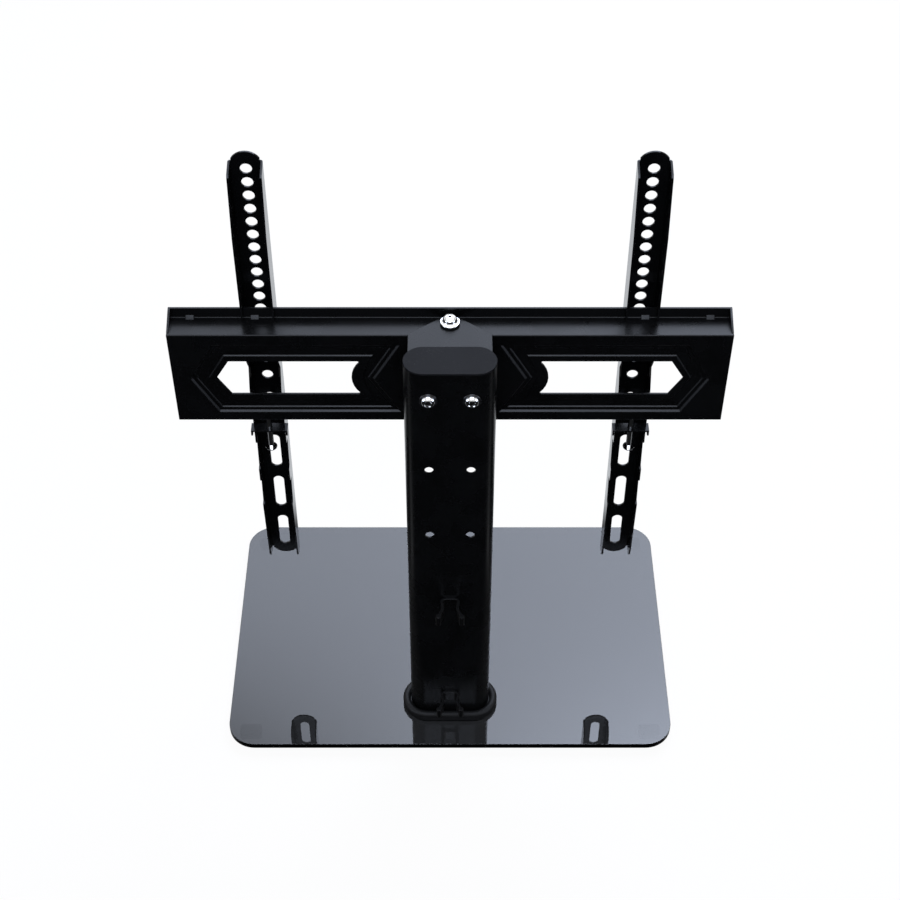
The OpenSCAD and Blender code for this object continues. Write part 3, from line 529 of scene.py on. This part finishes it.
pivotHead = {
    **panHead, "headRadius": 7.8 * mm, "headHeight": 6.1 * mm, "seatDown": 7.216 * mm, "rings": 90,
    "curveR": [0.0, 0.19, 0.38, 0.51, 0.59, 0.641, 0.67, 0.69, 0.72, 0.76, 0.82, 0.885, 0.949, 0.985, 1.0],
    "curveH": [1.0, 0.975, 0.91, 0.84, 0.77, 0.7, 0.6, 0.47, 0.33, 0.26, 0.225, 0.21, 0.19, 0.14, 0.05],
    "shaftRadius": 4.0 * mm, "pitch": 1.25 * mm, "threadDepth": 0.5 * mm, "turnBy": 0.0,
    "recessHalf": 0.85 * mm, "recessReach": 1.7 * mm, "recessEdge": 0.2 * mm, "recessDepth": 1.8 * mm,
}
lockHead = {
    **panHead, "headRadius": 4.9 * mm, "headHeight": 2.9 * mm, "seatDown": 2.9 * mm, "around": 96,
    "shaftRadius": 2.4 * mm, "pitch": 0.8 * mm, "threadDepth": 0.38 * mm, "plain": 40.0 * mm,
    "recessReach": 2.4 * mm, "turnBy": 0.4,
}

# the two height screws are one node, side by side, with their heads towards -Y
low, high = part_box("height_screws")
screwX, screwZ = high.x - panHead["headRadius"], (low.z + high.z) / 2
seat = low.y + panHead["seatDown"]
grid = screwGrid(panHead, shaftLength(panHead, high.y - low.y))
turnedPiece("height_screw_pair", [
    laid(grid, (side * screwX, seat, screwZ), (0, -1, 0), panHead["turnBy"] + side * panHead["turnApart"])
    for side in (-1, 1)], "height_screws")

# the others stand upright, with their heads up (1) or down (-1)
uprightScrews = {
    "top_pivot_bolt": (pivotHead, 1), "bottom_pivot_bolt": (pivotHead, -1),
    "left_lock_screw": (lockHead, -1), "right_lock_screw": (lockHead, -1),
}
for nodeName, (look, up) in uprightScrews.items():
    low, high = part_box(nodeName)
    seat = high.z - look["seatDown"] if up > 0 else low.z + look["seatDown"]
    grid = screwGrid(look, shaftLength(look, high.z - low.z))
    centre = ((low.x + high.x) / 2, (low.y + high.y) / 2, seat)
    turnedPiece(nodeName + "_turned", [laid(grid, centre, (0, 0, up), look["turnBy"])], nodeName)

# each CAD node gets its finish, for those that stay as they are
for nodeName, carried in nodes.items():
    carried.data.materials.clear()
    carried.data.materials.append(finishes[slotOf[nodeName]])
print("pieces done")


# stage: a pale floor, sky, lamps and the photograph's camera

# What mirrors of the floor on the object: white paper behind it, a faint strip beside the column and
# a dark room in front.
def makeFloor(look):
    half = look["half"]
    mesh = bpy.data.meshes.new("floor")
    corners = [(-half, -half, 0), (half, -half, 0), (half, half, 0), (-half, half, 0)]
    mesh.from_pydata(corners, [], [(0, 1, 2, 3)])
    floor = addObject("floor", mesh)
    material = bpy.data.materials.new("paleFloor")
    material.use_nodes = True
    tree = material.node_tree
    tree.nodes.clear()
    path = tree.nodes.new("ShaderNodeLightPath").outputs
    along = split(tree, tree.nodes.new("ShaderNodeTexCoord").outputs["Object"])["Y"]
    behind = ramp(tree, along, look["darkTo"], look["whiteFrom"], look["darkTone"], 1.0)
    offStrip = calc(tree, "ABSOLUTE", calc(tree, "SUBTRACT", along, look["stripY"]))
    beside = ramp(tree, offStrip, 0.0, look["stripHalf"], look["stripTone"], 0.0)
    mirrored = calc(tree, "MULTIPLY", path["Is Glossy Ray"], calc(tree, "ADD", behind, beside, clamp=True))
    seen = calc(tree, "MAXIMUM", path["Is Camera Ray"], path["Is Transmission Ray"])
    share = calc(tree, "MAXIMUM", calc(tree, "MULTIPLY", seen, look["white"]), mirrored, clamp=True)
    diffuse = tree.nodes.new("ShaderNodeBsdfDiffuse")
    paper = blendColour(tree, path["Is Glossy Ray"], look["paper"], (0.0, 0.0, 0.0))
    feed(tree, diffuse.inputs["Color"], paper)
    glow = tree.nodes.new("ShaderNodeEmission")
    tint = blendColour(tree, path["Is Glossy Ray"], (1.0, 1.0, 1.0), look["mirroredTint"])
    feed(tree, glow.inputs["Color"], tint)
    mixed = tree.nodes.new("ShaderNodeMixShader")
    feed(tree, mixed.inputs[0], share)
    feed(tree, mixed.inputs[1], diffuse.outputs[0])
    feed(tree, mixed.inputs[2], glow.outputs[0])
    output = tree.nodes.new("ShaderNodeOutputMaterial")
    feed(tree, output.inputs["Surface"], mixed.outputs[0])
    mesh.materials.append(material)


def makeSky(look):
    world = bpy.data.worlds.new("paleSky")
    scene.world = world
    world.use_nodes = True
    tree = world.node_tree
    tree.nodes.clear()
    path = tree.nodes.new("ShaderNodeLightPath").outputs
    seen = calc(tree, "MAXIMUM", path["Is Camera Ray"], path["Is Transmission Ray"])
    strength = ramp(tree, path["Is Glossy Ray"], 0.0, 1.0, look["ambient"], look["mirrored"])
    strength = ramp(tree, seen, 0.0, 1.0, strength, look["seen"])
    background = tree.nodes.new("ShaderNodeBackground")
    background.inputs["Color"].default_value = (1.0, 1.0, 1.0, 1.0)
    feed(tree, background.inputs["Strength"], strength)
    output = tree.nodes.new("ShaderNodeOutputWorld")
    feed(tree, output.inputs["Surface"], background.outputs[0])


# brighter to the right and towards the front: 1 + x * (across + along * (far - y)^2)
def leaning(tree, look):
    spot = split(tree, geometry(tree, "Position"))
    nearer = calc(tree, "MAXIMUM", calc(tree, "SUBTRACT", look["far"], spot["Y"]), 0.0)
    slope = calc(tree, "MULTIPLY", calc(tree, "POWER", nearer, 2.0), look["along"])
    slope = calc(tree, "ADD", slope, look["across"])
    strength = calc(tree, "ADD", calc(tree, "MULTIPLY", spot["X"], slope), 1.0)
    return calc(tree, "MAXIMUM", strength, look["least"])


# full in the lamp's middle, and nothing from the second distance on
def fading(tree, middle, distances):
    away = tree.nodes.new("ShaderNodeVectorMath")
    away.operation = "DISTANCE"
    feed(tree, away.inputs[0], geometry(tree, "Position"))
    away.inputs[1].default_value = middle
    return ramp(tree, away.outputs["Value"], *distances, 1.0, 0.0)


# radiance is what a mirror shows of the lamp, so its power is radiance x area x pi
def makeLamp(name, look):
    light = bpy.data.lights.new(name, "AREA")
    light.shape = "RECTANGLE"
    light.size, light.size_y = look["size"]
    light.energy = look["radiance"] * look["size"][0] * look["size"][1] * math.pi
    light.color = look["colour"]
    if "lean" in look or "soft" in look:
        light.use_nodes = True
        tree = light.node_tree
        shaped = leaning(tree, look["lean"]) if "lean" in look else fading(tree, look["at"], look["soft"])
        feed(tree, tree.nodes["Emission"].inputs["Strength"], shaped)
    lamp = addObject(name, light)
    lamp.visible_camera = False
    lamp.visible_diffuse = not look["mirroredOnly"]
    lamp.location = look["at"]
    aim = np.array(look["at"]) - np.array(look["aim"])
    tilt = math.acos(aim[2] / np.linalg.norm(aim))
    lamp.rotation_euler = (tilt, 0.0, math.atan2(aim[1], aim[0]) + math.pi / 2)


makeFloor({
    "half": 6.0, "white": 0.94, "paper": (0.97, 0.97, 0.97), "mirroredTint": (0.93, 0.96, 1.0),
    "darkTo": 0.13, "whiteFrom": 0.2, "darkTone": 0.01, "stripY": -0.08, "stripHalf": 0.06, "stripTone": 0.5,
})
makeSky({"ambient": 0.32, "mirrored": 0.8, "seen": 1.0})

softbox = {  # what each lamp starts from; its colour makes greys lean to blue, as in the photograph
    "aim": (0.0, 0.0, 0.3), "colour": (0.88, 0.98, 1.2), "mirroredOnly": False,
}
makeLamp("overheadSoftbox", {
    **softbox, "at": (0.0, 1.25, 1.6), "size": (1.8, 1.3), "radiance": 4.1,
    "lean": {"across": 0.35, "along": 9.5, "far": 1.4, "least": 0.3},
})
makeLamp("frontSoftbox", {**softbox, "at": (0.0, -1.45, 1.75), "size": (1.2, 0.7), "radiance": 6.5})
makeLamp("zenithSoftbox", {
    **softbox, "at": (0.0, 0.1, 2.3), "size": (1.8, 1.6), "radiance": 3.6, "mirroredOnly": True,
})
for name, side in (("leftSoftbox", -1), ("rightSoftbox", 1)):
    makeLamp(name, {
        **softbox, "at": (1.4 * side, -0.8, 0.62), "aim": (0.0, 0.0, 0.39), "size": (1.2, 1.2),
        "radiance": 6.5, "mirroredOnly": True, "soft": (0.1, 0.6),
    })

photoView = {"lens": 66.74, "sensor": 36.0, "farClip": 40.0, "at": (0.0, -1.01837, 1.29389), "tilt": 44.58}
camera = addObject("photoCamera", bpy.data.cameras.new("photoCamera"))
camera.data.lens = photoView["lens"]
camera.data.sensor_width = photoView["sensor"]
camera.data.clip_end = photoView["farClip"]
camera.location = photoView["at"]
camera.rotation_euler = (math.radians(photoView["tilt"]), 0.0, 0.0)
scene.camera = camera
scene.view_settings.view_transform = "Standard"
print("stage done")
